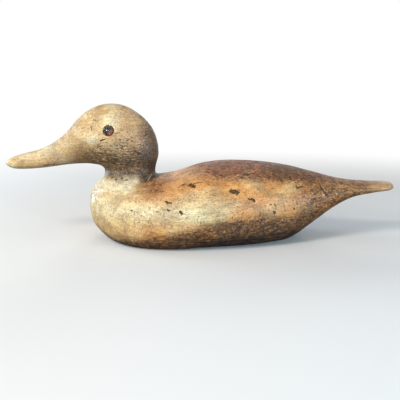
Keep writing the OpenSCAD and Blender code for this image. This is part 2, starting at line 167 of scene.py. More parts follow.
def coordinates(mesh, kind="co"):
    """Places, or normals, of a mesh's vertices as an array."""
    out = np.empty(len(mesh.vertices) * 3)
    mesh.vertices.foreach_get(kind, out)
    return out.reshape(-1, 3)


def place(mesh, points):
    mesh.vertices.foreach_set("co", np.ascontiguousarray(points, np.float32).ravel())
    mesh.update()
    return mesh


def modified(mesh, kind, **settings):
    """What a modifier makes of the mesh, which goes."""
    o = new_object("work", mesh)
    modifier = o.modifiers.new("work", kind)
    for key, value in settings.items():
        setattr(modifier, key, value)
    out = bpy.data.meshes.new_from_object(o.evaluated_get(bpy.context.evaluated_depsgraph_get()))
    bpy.data.objects.remove(o)
    bpy.data.meshes.remove(mesh)
    return out


def even_grid(mesh, size):
    """The mesh's solid with an even grid of faces."""
    return modified(mesh, "REMESH", mode="VOXEL", voxel_size=size, adaptivity=0)


def joined(*meshes):
    """One mesh of several, each turned outside out."""
    out = bpy.data.meshes.new("joined")
    with edited(out) as bm:
        for mesh in meshes:
            bm.from_mesh(mesh)
        bmesh.ops.recalc_face_normals(bm, faces=bm.faces[:])
    return out


def cut(mesh, cutters):
    """The mesh less the solids of the cutters, which must not overlap each other."""
    tool = new_object("tool", joined(*cutters))
    out = modified(mesh, "BOOLEAN", operation="DIFFERENCE", solver="MANIFOLD", object=tool)
    bpy.data.objects.remove(tool)
    return out


def planed(mesh, height, keep_above):
    """The mesh cut off level at that height and closed there."""
    with edited(mesh) as bm:
        bmesh.ops.bisect_plane(
            bm,
            geom=bm.verts[:] + bm.edges[:] + bm.faces[:],
            plane_co=(0, 0, height),
            plane_no=(0, 0, 1),
            clear_inner=keep_above,
            clear_outer=not keep_above,
        )
        bmesh.ops.edgeloop_fill(bm, edges=[e for e in bm.edges if e.is_boundary])
        bmesh.ops.recalc_face_normals(bm, faces=bm.faces[:])
    return mesh


def parts_of(bm):
    """The vertices of each separate part."""
    left, parts = dict.fromkeys(bm.verts), []
    while left:
        todo, part = [left.popitem()[0]], []
        while todo:
            v = todo.pop()
            part.append(v)
            for w in (e.other_vert(v) for e in v.link_edges):
                if w in left:
                    del left[w]
                    todo.append(w)
        parts.append(part)
    return parts


def main_piece(mesh):
    """The mesh without the crumbs that a cut may leave beside its largest part."""
    with edited(mesh) as bm:
        for part in sorted(parts_of(bm), key=len)[:-1]:
            bmesh.ops.delete(bm, geom=part, context="VERTS")
    return mesh


def solid_tree(mesh):
    """Search tree over a mesh."""
    return BVHTree.FromPolygons([v.co for v in mesh.vertices], [p.vertices for p in mesh.polygons])


def islands(node):
    """Places of the vertices of each separate solid of a CAD node."""
    bm = bmesh.new()
    bm.from_mesh(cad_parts[node].data)
    bmesh.ops.remove_doubles(bm, verts=bm.verts[:], dist=SAME_PLACE)
    out = [np.array([v.co[:] for v in part]) for part in parts_of(bm)]
    bm.free()
    return out


def from_axis(points, middle, direction):
    """How far along an axis points are, and how far out from it."""
    along = (points - middle) @ direction
    return along, np.linalg.norm(points - middle - along[:, None] * direction, axis=1)


def axis_of(points):
    """Middle and direction of a long round solid's points."""
    away = points - points.mean(0)
    return (points.min(0) + points.max(0)) / 2, np.linalg.svd(away, full_matrices=False)[2][0]


def rod(start, end, radius, points):
    """Round bar from start to end."""
    start, end = Vector(start), Vector(end)
    turn = (end - start).to_track_quat("Z", "Y").to_matrix().to_4x4()
    mesh = bpy.data.meshes.new("rod")
    with edited(mesh) as bm:
        bmesh.ops.create_cone(
            bm,
            cap_ends=True,
            segments=points,
            radius1=radius,
            radius2=radius,
            depth=(end - start).length,
            matrix=Matrix.Translation((start + end) / 2) @ turn,
        )
    return mesh


def prism(outline, low, high):
    """Upright block over a closed outline of (x, y)."""
    count = len(outline)
    points = [(x, y, low) for x, y in outline] + [(x, y, high) for x, y in outline]
    sides = [(i, (i + 1) % count, count + (i + 1) % count, count + i) for i in range(count)]
    ends = [tuple(range(count))[::-1], tuple(range(count, 2 * count))]
    return mesh_of("prism", points, ends + sides)


# --- the carved forms


def spline(rows, u):
    """Rows of a table, at places u along it. The first and the last row only lead the curve."""
    i = np.minimum(u.astype(int), len(rows) - 4)
    t = (u - i)[:, None]
    a, b, c, d = (rows[i + k] for k in range(4))
    return 0.5 * (2 * b + (c - a) * t + (2 * a - 5 * b + 4 * c - d) * t**2 + (3 * b - a - 3 * c + d) * t**3)


def folded(pole, row, even):
    return np.where(even, row, 2 * pole - row)


def superellipse(square):
    """(across, up) of points round a unit section, for squareness of its upper and lower half."""
    turn = 2 * np.pi * np.arange(LOFT_POINTS) / LOFT_POINTS
    c, s = np.cos(turn), np.sin(turn)
    n = np.where(s[None] >= 0, square[0][:, None], square[1][:, None])
    reach = (np.abs(c[None]) ** n + np.abs(s[None]) ** n) ** (-1 / n)
    return reach * c, reach * s


def loft(rings, start, end):
    count, around = rings.shape[:2]
    points = np.vstack([[start], rings.reshape(-1, 3), [end]])
    i, j = np.meshgrid(np.arange(count - 1), np.arange(around), indexing="ij")
    first, after = 1 + i * around + j, 1 + i * around + (j + 1) % around
    quads = np.stack([first, first + around, after + around, after], -1).reshape(-1, 4).tolist()
    last, tail = len(points) - 1, 1 + (count - 1) * around
    fans = [(0, 1 + k, 1 + (k + 1) % around) for k in range(around)]
    fans += [(last, tail + (k + 1) % around, tail + k) for k in range(around)]
    return mesh_of("loft", points, quads + fans)


def loft_along_x(x, y, z, start, end):
    """Loft through upright sections at distances x from the breast. start and end are (distance, height)."""
    rings = np.stack([np.broadcast_to((BREAST_X + x)[:, None], z.shape), y, z], -1)
    return loft(rings, *((BREAST_X + distance, 0, height) for distance, height in (start, end)))


def body_rows(u):
    table = np.array(BODY_LINES)
    guards = [folded(table[0], table[1], BODY_EVEN)], [folded(table[-1], table[-2], BODY_EVEN)]
    rows = spline(np.vstack([guards[0], table, guards[1]]), u)
    return rows * np.array([BODY_LENGTH, BODY_WIDTH / 2, BODY_HEIGHT, BODY_HEIGHT, 1])


def body_loft():
    u = np.arange(1, (len(BODY_LINES) - 1) * LOFT_STEPS) / LOFT_STEPS
    x, half, top, bottom, square = body_rows(u).T
    across, up = superellipse((np.full(len(u), BODY_CROWN), square))
    waist = bottom + BODY_WAIST * (top - bottom)
    z = waist[:, None] + np.where(up >= 0, (top - waist)[:, None], (waist - bottom)[:, None]) * up
    ends = [(BODY_LINES[k][0] * BODY_LENGTH, BODY_LINES[k][2] * BODY_HEIGHT) for k in (0, -1)]
    return loft_along_x(x, half[:, None] * across, z, *ends)


def head_rings(u):
    table = np.array(HEAD_LINES)
    guards = [2 * table[0] - table[1]], [folded(table[-1], table[-2], HEAD_EVEN)]
    rows = spline(np.vstack([guards[0], table, guards[1]]), u)
    across, along = superellipse([np.full(len(u), HEAD_CROWN)] * 2)
    throat, back = rows[:, None, 0:2], rows[:, None, 2:4]
    xz = (throat + back) / 2 + across[..., None] * (back - throat) / 2
    y = along * rows[:, None, 4] * (1 - rows[:, None, 5] * across) * HEAD_WIDTH / 2
    x = BREAST_X + NECK_SETBACK + xz[..., 0] * HEAD_LENGTH
    return np.stack([x, y, SEAT_Z + xz[..., 1] * HEAD_HEIGHT], -1)


def head_loft(last=None):
    """Loft of the whole head, or of the neck alone up to row last."""
    closed = last is None
    stop = (len(HEAD_LINES) - 1 if closed else last) * LOFT_STEPS + (0 if closed else 1)
    rings = head_rings(np.arange(0, stop) / LOFT_STEPS)
    end = head_rings(np.array([float(len(HEAD_LINES) - 1)]))[0] if closed else rings[-1]
    return loft(rings, rings[0].mean(0), end.mean(0))


# --- camera


def make_camera():
    camera = bpy.data.cameras.new("camera")
    camera.sensor_width = SENSOR_WIDTH
    camera.lens = camera.sensor_width * FOCAL_PIXELS / PICTURE
    camera.clip_start = NEAR_CLIP
    o = new_object("camera", camera)
    o.location = CAMERA_TARGET + CAMERA_DISTANCE * CAMERA_BACK
    o.rotation_euler = CAMERA_BACK.to_track_quat("Z", "Y").to_euler()
    bpy.context.scene.camera = o
    return o


CAMERA = make_camera()


def sight(px, py):
    """Direction of sight through a pixel of the photograph."""
    across, up = (px - PICTURE / 2) / FOCAL_PIXELS, (PICTURE / 2 - py) / FOCAL_PIXELS
    return (Vector((across, 0, 0)) - CAMERA_BACK + CAMERA_UP * up).normalized()


# --- marks of age

# What the photograph shows on the near side: the two ends of each mark and its width in the photograph's pixels,
# its depth in millimetres, and how dark or, below zero, how pale it is.
SEEN_MARKS = [
    (190.5, 184.5, 194, 186.3, 4.2, 0.9, 1), (194, 183.6, 202, 181.8, 1.2, 0.5, 0.8),
    (182, 185.3, 185.2, 184.4, 1.5, 0.5, 0.8), (231.8, 191, 237, 192, 5.2, 1.1, 0.9),
    (249, 199, 250.4, 199.5, 1.8, 0.6, 0.8), (252.3, 199.2, 254, 200.8, 2.8, 0.9, 1),
    (220, 175.5, 224.5, 176.4, 1.6, 0.5, 0.7), (241.2, 177, 242.2, 178.2, 1.6, 0.5, 0.8),
    (243.5, 174.8, 249, 174.6, 1.6, 0.5, 0.9), (248, 173.2, 254, 171.4, 1.2, 0.3, -0.5),
    (245.5, 171.4, 250, 170.2, 0.8, 0.2, -0.4), (244, 176.6, 250.5, 176, 0.8, 0.2, -0.4),
    (247.4, 162.9, 251, 166.6, 0.9, 0.3, 0.7), (251, 166.6, 256, 172, 0.9, 0.3, 0.6),
    (290, 176.4, 291, 179.4, 1.6, 0.6, 0.9), (296.3, 185.3, 297, 188.6, 1.1, 0.4, 0.8),
    (297, 188.2, 302.5, 186.8, 1.6, 0.5, 0.9), (319.7, 183.3, 320.6, 187.2, 1.3, 0.5, 0.8),
    (320.6, 187.2, 326.2, 194.8, 1.7, 0.8, 1), (165.6, 201.4, 168, 202.6, 2.3, 0.7, 0.9),
    (169.2, 203, 171, 202.8, 1.8, 0.6, 0.9), (167.6, 209.8, 169, 210.6, 1.9, 0.6, 0.8),
    (180.2, 211.8, 181.8, 213.4, 2.6, 0.8, 1), (274, 211.8, 275, 213.2, 2.4, 0.8, 1),
    (294.3, 209, 294.5, 209.2, 1.8, 0.7, 1), (270.2, 204.3, 271.5, 204.8, 1.2, 0.4, 0.8),
    (274.5, 204, 276.4, 206.4, 1, 0.4, 0.8), (261, 227.2, 265, 226.6, 1.4, 0.5, 0.8),
    (248, 181, 270, 182.2, 0.5, 0.3, 0.55), (270, 182.2, 293.5, 183.3, 0.5, 0.3, 0.55),
    (151.5, 174.5, 147.5, 181, 1, 0.2, -0.6), (148.5, 174, 145.5, 179.5, 0.8, 0.2, -0.5),
    (153.5, 176.5, 149.5, 184.5, 1, 0.3, 0.6), (150.5, 172.5, 146, 178, 0.9, 0.25, 0.6),
    (156.5, 178, 153, 184, 0.9, 0.25, 0.55), (147, 180, 144, 184.5, 0.8, 0.25, 0.5),
    (155, 191, 157.5, 190.4, 1.3, 0.3, 0.7), (160.5, 191.8, 163.5, 191.2, 1.2, 0.3, 0.7),
    (131, 210, 132.2, 210.8, 1.4, 0.4, 0.8), (138, 240.5, 139, 245.7, 0.7, 0.4, 0.5),
    (100.4, 140.8, 105, 139.2, 1.2, 0.6, 0.9), (93.6, 119.5, 96, 120.6, 1, 0.3, 0.6),
    (90.6, 126.6, 91.8, 129.8, 1, 0.3, 0.6), (119.6, 140, 120.4, 140.3, 1.2, 0.3, 0.7),
    (24, 167.2, 42, 166.6, 0.8, 0.3, 0.55), (42, 166.6, 48.5, 164.6, 1.2, 0.5, 0.9),
]
# Small pits and knocks elsewhere, by chance: how many, half length and half width in millimetres, depth, darkness
CHANCE_MARKS = [
    (70, (0.3, 1.2), (0.35, 0.7), (0.15, 0.4), (0.4, 0.9)),
    (16, (0.8, 3), (0.7, 1.6), (0.4, 0.9), (0.7, 1)),
    (8, (4, 12), (0.3, 0.5), (0.2, 0.4), (0.4, 0.7)),
]
# Strokes of the rasp and the knife, by chance, on both sides: how many, X and Z in millimetres, degrees above level
# towards the tail, half length, half width, depth, and how dark or, below zero, how pale
STROKES = [
    (46, (-110, -60), (80, 100), (-35, 10), (0.8, 2.6), (0.26, 0.41), (0.12, 0.3), (0.7, 1)),
    (20, (-108, -66), (96, 112), (-15, 25), (0.6, 2), (0.24, 0.38), (0.1, 0.25), (0.6, 1)),
    (12, (-114, -98), (112, 130), (20, 80), (0.6, 1.6), (0.2, 0.3), (0.1, 0.2), (0.4, 0.8)),
    (26, (-92, -52), (70, 86), (-60, -20), (0.8, 2.4), (0.24, 0.38), (0.1, 0.2), (0.6, 1)),
    (26, (-112, -66), (84, 110), (-40, 20), (0.8, 2), (0.22, 0.34), (0.1, 0.2), (-0.95, -0.6)),
    (34, (-60, -14), (50, 66), (20, 70), (0.8, 3), (0.2, 0.4), (0.1, 0.3), (0.4, 0.9)),
    (14, (-60, -20), (52, 68), (40, 80), (1, 4), (0.2, 0.35), (0.1, 0.2), (-0.7, -0.4)),
    (40, (-20, 70), (22, 36), (60, 110), (0.8, 2.4), (0.2, 0.32), (0.1, 0.2), (0.4, 0.8)),
    (24, (-90, -20), (30, 56), (50, 120), (0.5, 1.8), (0.18, 0.28), (0.1, 0.2), (0.3, 0.7)),
    (26, (-10, 130), (36, 66), (-12, 12), (1, 5), (0.15, 0.28), (0.1, 0.2), (0.3, 0.7)),
]
FINE_MARK = 0.42 * MM  # a mark with less half width than this is a stroke
MARK_ROUGHNESS = 0.6  # how ragged a mark's edge is
RAGGED = 700, 1900  # lumps of its raggedness in a metre, large and small
MARK_WIDTH = 1.1  # how wide a mark is built, as a share of its width in the photograph
MARK_REACH = 1.5  # how far out a mark shows, in half widths
MARK_MARGIN, STROKE_MARGIN = 0.6 * MM, 0.45 * MM  # how far round them the faces are made smaller
BIG_CHANCE = 0.6  # a chance mark with more half width than this, in millimetres, isn't put where marks are seen
NEAR_SIDE = -12 * MM  # Y below which a face is on the photographed side
GRAIN_LEAN = 0.25  # how far the marks lean from the grain, as a slope


class Mark:
    """A chip, pit, dent or crack: a stroke with round ends pressed into the wood."""

    def __init__(self, start, end, normal, half_width, depth, dark):
        start, end, self.normal = np.array(start), np.array(end), np.array(normal)
        self.middle, self.half_length = (start + end) / 2, np.linalg.norm(end - start) / 2
        along = end - start + [SAME_PLACE, 0, 0]  # so that a dot has a direction too
        along -= self.normal * (along @ self.normal)
        self.along = along / np.linalg.norm(along)
        self.across = np.cross(self.normal, self.along)
        self.half_width, self.depth, self.dark = half_width, depth, dark
        self.seed = Vector([RANDOM.uniform(0, 50) for _ in range(3)])

    def spread(self, points):
        """Distance of points from the stroke, in half widths."""
        away = points - self.middle
        past = np.maximum(np.abs(away @ self.along) - self.half_length, 0)
        return np.sqrt(past**2 + (away @ self.across) ** 2 + (0.5 * (away @ self.normal)) ** 2) / self.half_width


class Cloud:
    """Points sorted along X, so that the few near a mark are found quickly."""

    def __init__(self, points):
        self.order = np.argsort(points[:, 0])
        self.points = points[self.order]

    def near(self, mark, reach=MARK_REACH, margin=0.0):
        limit = mark.half_length + (reach * mark.half_width + margin) * 2
        low, high = np.searchsorted(self.points[:, 0], (mark.middle[0] - limit, mark.middle[0] + limit))
        close = low + np.flatnonzero(np.abs(self.points[low:high] - mark.middle).max(1) < limit)
        close = close[mark.spread(self.points[close]) < reach + margin / mark.half_width]
        return self.order[close]


def seen_marks(tree):
    out = []
    for x0, y0, x1, y1, width, depth, dark in SEEN_MARKS:
        start = tree.ray_cast(CAMERA.location, sight(x0, y0))
        end = tree.ray_cast(CAMERA.location, sight(x1, y1))
        if start[0] is None or end[0] is None:
            continue
        pixel = (start[0] - CAMERA.location).length / FOCAL_PIXELS
        normal = (start[1] + end[1]).normalized()
        out.append(Mark(start[0], end[0], normal, MARK_WIDTH * width / 2 * pixel, depth * MM, dark))
    return out


def chance_marks(mesh, share):
    """Marks scattered over a mesh, along the grain. The photographed side keeps small ones only."""
    out = []
    faces = mesh.polygons
    for count, *ranges in CHANCE_MARKS:
        for _ in range(int(count * share)):
            face = faces[RANDOM.randrange(len(faces))]
            length, width, depth, dark = (RANDOM.uniform(*r) for r in ranges)
            lean = Vector((1, RANDOM.uniform(-GRAIN_LEAN, GRAIN_LEAN), RANDOM.uniform(-GRAIN_LEAN, GRAIN_LEAN)))
            along = (lean - face.normal * lean.dot(face.normal)).normalized() * length * MM
            if width > BIG_CHANCE and face.center.y < NEAR_SIDE:
                continue
            out.append(Mark(face.center - along, face.center + along, face.normal, width * MM, depth * MM, dark))
    return out


def strokes(tree):
    """Fine strokes on both sides of a shape."""
    out = []
    for count, along, height, angle, *ranges in STROKES:
        for k in range(2 * count):
            side = 1 if k % 2 else -1
            x, z, turn = (RANDOM.uniform(*r) for r in (along, height, angle))
            length, width, depth, dark = (RANDOM.uniform(*r) for r in ranges)
            turn = math.radians(turn)
            away = Vector((math.cos(turn), 0, math.sin(turn))) * length * MM
            middle = Vector((x * MM, side * BODY_WIDTH, z * MM))
            ends = [tree.ray_cast(middle + s * away, Vector((0, -side, 0))) for s in (-1, 1)]
            if all(e[0] is not None for e in ends) and (ends[0][0] - ends[1][0]).length < 3 * length * MM:
                normal = (ends[0][1] + ends[1][1]).normalized()
                out.append(Mark(ends[0][0], ends[1][0], normal, width * MM, depth * MM, dark))
    return out


def refined(mesh, marks, levels):
    """The mesh with smaller faces where the marks are. Fine strokes get one level only."""
    with edited(mesh) as bm:
        for level in range(levels):
            bm.verts.index_update()
            cloud = Cloud(np.array([v.co[:] for v in bm.verts]))
            wanted = np.zeros(len(bm.verts), bool)
            for mark in marks:
                fine = mark.half_width <= FINE_MARK
                if level == 0 or not fine:
                    wanted[cloud.near(mark, margin=STROKE_MARGIN if fine else MARK_MARGIN)] = True
            edges = [e for e in bm.edges if wanted[e.verts[0].index] and wanted[e.verts[1].index]]
            bmesh.ops.subdivide_edges(bm, edges=edges, cuts=1, use_grid_fill=True)
    return mesh


def noise_at(points, scale, seed=0.0):
    """Smooth noise from -1 to 1 at points. scale is the size of its lumps along X, Y and Z, in millimetres."""
    scaled = points / (np.array(scale) * MM) + seed
    return np.array([noise.noise(Vector(p)) for p in scaled])


def relief(points, normals, marks):
    """How deep the marks go at each point, and how dark and how pale they leave it."""
    depth, dark, pale = np.zeros((3, len(points)))
    cloud = Cloud(points)
    for mark in marks:
        close = cloud.near(mark, reach=MARK_REACH + MARK_ROUGHNESS)
        if not len(close):
            continue
        spots = [Vector(p) for p in points[close]]
        ragged = np.array([noise.noise(p * RAGGED[0] + mark.seed) + 0.6 * noise.noise(p * RAGGED[1]) for p in spots])
        spread = mark.spread(points[close]) + MARK_ROUGHNESS * ragged
        facing = normals[close] @ mark.normal > 0
        pressed = smoothstep(1.1, 0.6, spread) * facing
        depth[close] = np.maximum(depth[close], mark.depth * pressed * (0.85 + 0.3 * ragged))
        stained = smoothstep(1.2, 0.7, spread) * facing
        if mark.dark > 0:
            dark[close] = np.maximum(dark[close], mark.dark * stained)
        else:
            pale[close] = np.maximum(pale[close], -mark.dark * stained)
    return depth, dark, pale


# The knife's unevenness: size of its lumps in millimetres, and their height
HAND_WAVES = [((34, 22, 22), 0.25 * MM), ((22, 6, 6), 0.12 * MM)]


def weathered(mesh, marks, loose):
    """The mesh with the knife's slight unevenness, as far as each vertex is loose, and the marks pressed in."""
    points, normals = coordinates(mesh), coordinates(mesh, "normal")
    shift = np.zeros(len(points))
    for scale, height in HAND_WAVES:
        shift += loose * height * noise_at(points, scale)
    depth = relief(points, normals, marks)[0]
    return place(mesh, points + normals * (shift - depth)[:, None])


def smoothed(mesh, weights, rounds):
    """The mesh with each vertex drawn to its neighbours' middle, by its weight."""
    points = coordinates(mesh)
    ends = np.empty(len(mesh.edges) * 2, np.int64)
    mesh.edges.foreach_get("vertices", ends)
    a, b = ends.reshape(-1, 2).T
    degree = np.bincount(ends, minlength=len(points))[:, None]
    for _ in range(rounds):
        total = np.zeros_like(points)
        np.add.at(total, a, points[b])
        np.add.at(total, b, points[a])
        points += weights[:, None] * (total / degree - points)
    return place(mesh, points)


def onto(mesh, trees, reach):
    """The mesh with its vertices drawn onto the nearest of the true surfaces, where that is within reach."""
    points = coordinates(mesh)
    for k, p in enumerate(points):
        hits = [tree.find_nearest(Vector(p), reach) for tree in trees]
        hits = [h for h in hits if h[0] is not None]
        if hits:
            points[k] = min(hits, key=lambda h: h[3])[0]
    return place(mesh, points)


# --- the three blocks

FILLET = 8.0 * MM  # reach of the rounding between the neck's foot and the body
FILLET_ROUNDS = 90
JOINT_GAP = 0.08 * MM  # play round the head where it is let into the back
SEAM_DEPTH = 0.55 * MM
NECK_SEAM_DEPTH = 0.05 * MM
HOLLOW_START, HOLLOW_LENGTH = 74 * MM, 106 * MM
HOLLOW_RIM, HOLLOW_BACK = 11 * MM, 16 * MM
HOLLOW_FLOOR = 1 * MM  # how far the hollow reaches below the seam, so that it opens there
HOLLOW_SQUARE, HOLLOW_SWELL, HOLLOW_SECTIONS = 2.5, 0.55, 24
POCKET_DEPTH = 7.5 * MM
POCKET_ROOM = 2.5 * MM
POCKET_NOSE = 5.5 * MM  # how far the pocket reaches past the ring, towards the bill
DRIVE_DEPTH = 4 * MM
PLAY, EYE_PLAY = 0.05 * MM, 0.02 * MM  # room round a head or the ballast, and round an eye
PAST = 1 * MM  # how far a tool starts outside the wood
SOCKET_PAST = 3 * MM
KNIFE_FROM_NECK = 0.5 * MM, 7 * MM  # distances from the neck between which the knife's unevenness sets in
KNIFE_FROM_SEAT = 12 * MM, 22 * MM  # and heights over the head's seat
SEAM_WEAR = 30 * MM, 90 * MM  # distances from the breast between which the seam's wear grows


def grooved(mesh, height, depth):
    """The mesh with its outer edge at that height worn in, which opens a fine seam there."""
    points = coordinates(mesh)
    rim = np.flatnonzero(np.abs(points[:, 2] - height) < SAME_PLACE)
    normals = coordinates(mesh, "normal")[rim] * [1, 1, 0]
    normals /= np.linalg.norm(normals, axis=1)[:, None] + 1e-9
    worn = np.clip(0.6 + 0.6 * noise_at(points[rim], (14, 14, 14), 3.0), 0.15, 1.2)
    worn *= 0.3 + 0.7 * smoothstep(*SEAM_WEAR, points[rim, 0] - BREAST_X)
    points[rim] -= normals * (depth * worn)[:, None]
    return place(mesh, points)


def hollow():
    """The gouged hollow of the upper body."""
    u = np.linspace(0, len(BODY_LINES) - 1, 2000)
    table = body_rows(u)
    t = np.pi * np.arange(1, HOLLOW_SECTIONS) / HOLLOW_SECTIONS
    x = HOLLOW_START + HOLLOW_LENGTH * (1 - np.cos(t)) / 2
    half, top, bottom, square = (np.interp(x, table[:, 0], table[:, k]) for k in (1, 2, 3, 4))
    waist = bottom + BODY_WAIST * (top - bottom)
    base = half * (1 - (waist / (waist - bottom)) ** square) ** (1 / square)
    swell = np.sin(t) ** HOLLOW_SWELL
    across, up = superellipse([np.full(len(t), HOLLOW_SQUARE)] * 2)
    wide = ((base - HOLLOW_RIM) * swell)[:, None] * across
    rise = ((top - HOLLOW_BACK - SEAM_Z) * swell)[:, None]
    high = SEAM_Z + np.where(up >= 0, rise, HOLLOW_FLOOR) * up
    return loft_along_x(x, wide, high, (HOLLOW_START, SEAM_Z), (HOLLOW_START + HOLLOW_LENGTH, SEAM_Z))


def fastener_holes(node):
    """Holes over the heads of driven nails or brads, each open outwards."""
    tools = []
    for points in islands(node):
        middle, direction = axis_of(points)
        along, radius = from_axis(points, middle, direction)
        if radius[along < 0].max() < radius[along > 0].max():
            direction, along = -direction, -along
        head = radius.max()
        under, out = along[radius > 0.9 * head].max(), along.min() - DRIVE_DEPTH
        tools.append(rod(middle + direction * under, middle + direction * out, head + PLAY, 32))
    return tools


def stadium(low_x, high_x, radius, points=24):
    """Outline of a slot with round ends, from the middle of one end to the middle of the other."""
    turns = np.pi * (np.arange(points + 1) / points - 0.5)
    front = [(high_x + radius * math.cos(t), radius * math.sin(t)) for t in turns]
    back = [(low_x - radius * math.cos(t), -radius * math.sin(t)) for t in turns]
    return front + back


def ballast_outline():
    """Outline of the ballast's pocket: the bar's own, with a hair of room."""
    low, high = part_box("ballast_weight")
    middle, half = (low + high) / 2, (high - low) / 2
    corner = half.y / 2
    out = []
    for quarter, (sx, sy) in enumerate(((1, 1), (-1, 1), (-1, -1), (1, -1))):
        for step in range(9):
            turn = math.radians(90 * quarter + 90 * step / 8)
            x = middle.x + sx * (half.x - corner) + (corner + PLAY) * math.cos(turn)
            y = middle.y + sy * (half.y - corner) + (corner + PLAY) * math.sin(turn)
            out.append((x, y))
    return out


def eye_tool(side):
    """Socket of one eye, open outwards."""
    wire = islands(f"{side}_eye_wire")[0]
    putty = islands(f"{side}_eye_putty")[0]
    middle, direction = axis_of(wire)
    if direction @ (putty.mean(0) - middle) < 0:
        direction = -direction
    along, radius = from_axis(putty, middle, direction)
    start, end = middle + direction * along.min(), middle + direction * (along.max() + SOCKET_PAST)
    return rod(start, end, radius.max() + EYE_PLAY, 64)


def carve():
    """Meshes of the upper body, the bottom board and the head, and the marks on them."""
    body, neck, head = body_loft(), head_loft(NECK_LAST), head_loft()
    trees = [solid_tree(body), solid_tree(neck)]
    head_tree = solid_tree(head)
    sight_tree = solid_tree(joined(body, head))

    block = even_grid(joined(body, neck), BODY_GRID)
    onto(block, trees, 0.6 * BODY_GRID)
    gaps = np.array([[tree.find_nearest(v.co)[3] for tree in trees] for v in block.vertices])
    rounds = int(FILLET_ROUNDS * (MM / BODY_GRID) ** 2)
    smoothed(block, 0.5 * np.prod(np.clip(1 - gaps / FILLET, 0, 1), axis=1) ** 0.5, rounds)
    head_block = onto(even_grid(head, HEAD_GRID), [head_tree], 0.8 * HEAD_GRID)

    marks = seen_marks(sight_tree)
    marks += chance_marks(block, 1.0)
    marks += chance_marks(head_block, 0.4)
    marks += strokes(sight_tree)
    levels = 2
    block = refined(block, marks, levels)
    from_neck = np.array([trees[1].find_nearest(v.co)[3] for v in block.vertices])
    weathered(block, marks, smoothstep(*KNIFE_FROM_NECK, from_neck))
    head_block = refined(head_block, marks, levels)
    weathered(head_block, marks, smoothstep(*KNIFE_FROM_SEAT, coordinates(head_block)[:, 2] - SEAT_Z))

    board = planed(planed(block.copy(), SEAM_Z, keep_above=False), 0, keep_above=True)
    board = grooved(board, SEAM_Z, SEAM_DEPTH)
    upper = grooved(planed(block, SEAM_Z, keep_above=True), SEAM_Z, SEAM_DEPTH)
    head_mesh = grooved(planed(head_block, SEAT_Z, keep_above=True), SEAT_Z, NECK_SEAM_DEPTH)

    stump = planed(neck, SEAT_Z, keep_above=True)
    wider = JOINT_GAP * coordinates(stump, "normal")
    wider[coordinates(stump)[:, 2] <= SEAT_Z + SAME_PLACE, 2] = 0  # its foot stays on the seat
    place(stump, coordinates(stump) + wider)
    brads, nails = fastener_holes("neck_brads"), fastener_holes("board_nails")
    upper = main_piece(cut(main_piece(cut(upper, [stump])), [hollow()] + brads))

    ring_low, ring_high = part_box("line_ring")
    ring_radius = (ring_high.y - ring_low.y) / 2
    nose, tail = ring_low.x + ring_radius - POCKET_NOSE, ring_high.x - ring_radius
    pocket = prism(stadium(nose, tail, ring_radius + POCKET_ROOM), -PAST, POCKET_DEPTH)
    ballast = prism(ballast_outline(), -PAST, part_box("ballast_weight")[1].z)
    board = cut(board, [pocket, ballast] + nails)
    head_mesh = cut(cut(head_mesh, [eye_tool("left"), eye_tool("right")]), brads)
    return {"upper_body": upper, "bottom_board": board, "head": head_mesh}, marks


# --- colour


def linear(red, green, blue):
    """Scene colour of an everyday colour from 0 to 255."""
    return np.array([((c / 255 + 0.055) / 1.055) ** 2.4 if c > 10 else c / 255 / 12.92 for c in (red, green, blue)])


# Places that hands have rubbed to a polish, on both sides: X, Z and radius in millimetres
POLISHED = [(-59, 105, 12), (100, 39, 15), (-113, 40, 22)]
POLISH_GLOSS = 0.15  # how much roughness the polish takes away
SEAM_GRIME = 1.0 * MM  # reach of the grime at a seam
RAW_DEPTH = 1.4 * MM, 2.6 * MM  # depths below the worn skin between which the wood is raw

# Worn wood, as it looks in plain light; some of these also paint in light and shade, as said where they are used
TAN = linear(238, 167, 98)
CREAM = linear(254, 232, 184)
STRAW = linear(236, 197, 138)
HEAD_TAN = linear(213, 171, 124)
BACK_BROWN = linear(128, 76, 51)
REAR_BROWN = linear(114, 72, 38)
LOW_GRIME_AND_SHADE = linear(98, 67, 45)
LOWEST_GRIME_AND_SHADE = linear(34, 30, 30)
NECK_BROWN_AND_SHADE = linear(88, 70, 54)
NAPE_BROWN = linear(84, 55, 43)
FOOT_CREAM = linear(242, 201, 140)
FOOT_PALE_AND_LIT = linear(255, 234, 190)
SHEEN_BAND_PALE = linear(255, 236, 184)
TAIL_TIP = linear(222, 176, 126)
RAW_WOOD = linear(150, 112, 74)
CHIP_DARK = linear(40, 29, 20)
CHIP_BROWN = linear(92, 68, 42)
PALE_WOOD = linear(226, 194, 142)
GRIME = linear(58, 44, 32)


def layered(colour, layers):
    """A colour under layers of others, each with its share at every point."""
    for over, share in layers:
        colour = colour + (over - colour) * share[:, None]
    return colour


def bell(value, middle, reach):
    """1 at the middle, fading to both sides."""
    return np.exp(-(((value - middle) / reach) ** 2))


